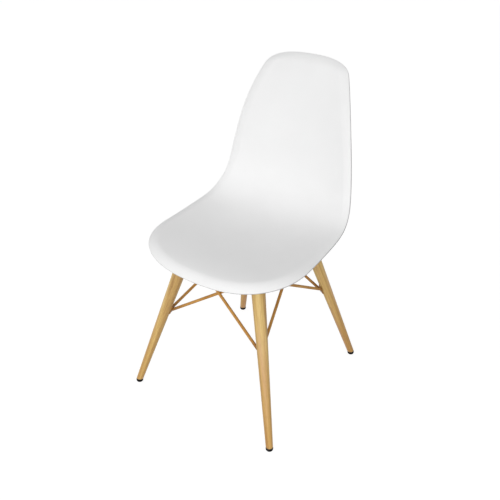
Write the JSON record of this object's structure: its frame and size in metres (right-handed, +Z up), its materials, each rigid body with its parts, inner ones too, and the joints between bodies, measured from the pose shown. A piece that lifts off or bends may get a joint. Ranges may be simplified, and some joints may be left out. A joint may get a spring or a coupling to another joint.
{
  "type": "moulded plastic shell chair",
  "caption": "Side chair with a moulded plastic bucket shell on splayed, tapered wooden legs, braced by crossed painted steel rods.",
  "frame": {"origin": "centre of the bounding box's base, on the floor under the middle of the chair", "axes": "+Z up, the chair faces -Y, +X to the right as seen from its front; x = 0 is the plane of symmetry"},
  "size_m": [0.4464, 0.4794, 0.8202],
  "materials": {
    "white_shell_plastic": "satin white moulded plastic",
    "light_wood": "clear-lacquered light wood",
    "black_glide_plastic": "matte black",
    "black_pad_plastic": "matte black",
    "golden_painted_rods": "golden tan paint",
    "golden_painted_frame": "golden tan paint",
    "brass_inserts": "plain brass",
    "steel_fasteners": "zinc-plated steel"
  },
  "bodies": {
    "root": {"arm_front_left": "golden_painted_frame", "arm_front_right": "golden_painted_frame", "arm_rear_left": "golden_painted_frame", "arm_rear_right": "golden_painted_frame", "brace_saddle_front_left": "golden_painted_rods", "brace_saddle_front_right": "golden_painted_rods", "brace_saddle_rear_left": "golden_painted_rods", "brace_saddle_rear_right": "golden_painted_rods", "brace_screws": "steel_fasteners", "centre_plate": "golden_painted_frame", "front_brace_low_left": "golden_painted_rods", "front_brace_low_right": "golden_painted_rods", "glide_front_left": "black_glide_plastic", "glide_front_right": "black_glide_plastic", "glide_nails": "steel_fasteners", "glide_rear_left": "black_glide_plastic", "glide_rear_right": "black_glide_plastic", "gusset_front_left": "golden_painted_frame", "gusset_front_right": "golden_painted_frame", "gusset_rear_left": "golden_painted_frame", "gusset_rear_right": "golden_painted_frame", "left_brace_low_front": "golden_painted_rods", "left_brace_low_rear": "golden_painted_rods", "leg_bolts": "steel_fasteners", "leg_front_left": "light_wood", "leg_front_right": "light_wood", "leg_inserts": "brass_inserts", "leg_rear_left": "light_wood", "leg_rear_right": "light_wood", "leg_washers": "steel_fasteners", "rear_brace_low_left": "golden_painted_rods", "rear_brace_low_right": "golden_painted_rods", "right_brace_low_front": "golden_painted_rods", "right_brace_low_rear": "golden_painted_rods", "seat_bolts": "steel_fasteners", "seat_inserts": "brass_inserts", "seat_pad_front_left": "black_pad_plastic", "seat_pad_front_right": "black_pad_plastic", "seat_pad_rear_left": "black_pad_plastic", "seat_pad_rear_right": "black_pad_plastic", "seat_shell": "white_shell_plastic", "seat_washers": "steel_fasteners"}
  },
  "joints": []
}
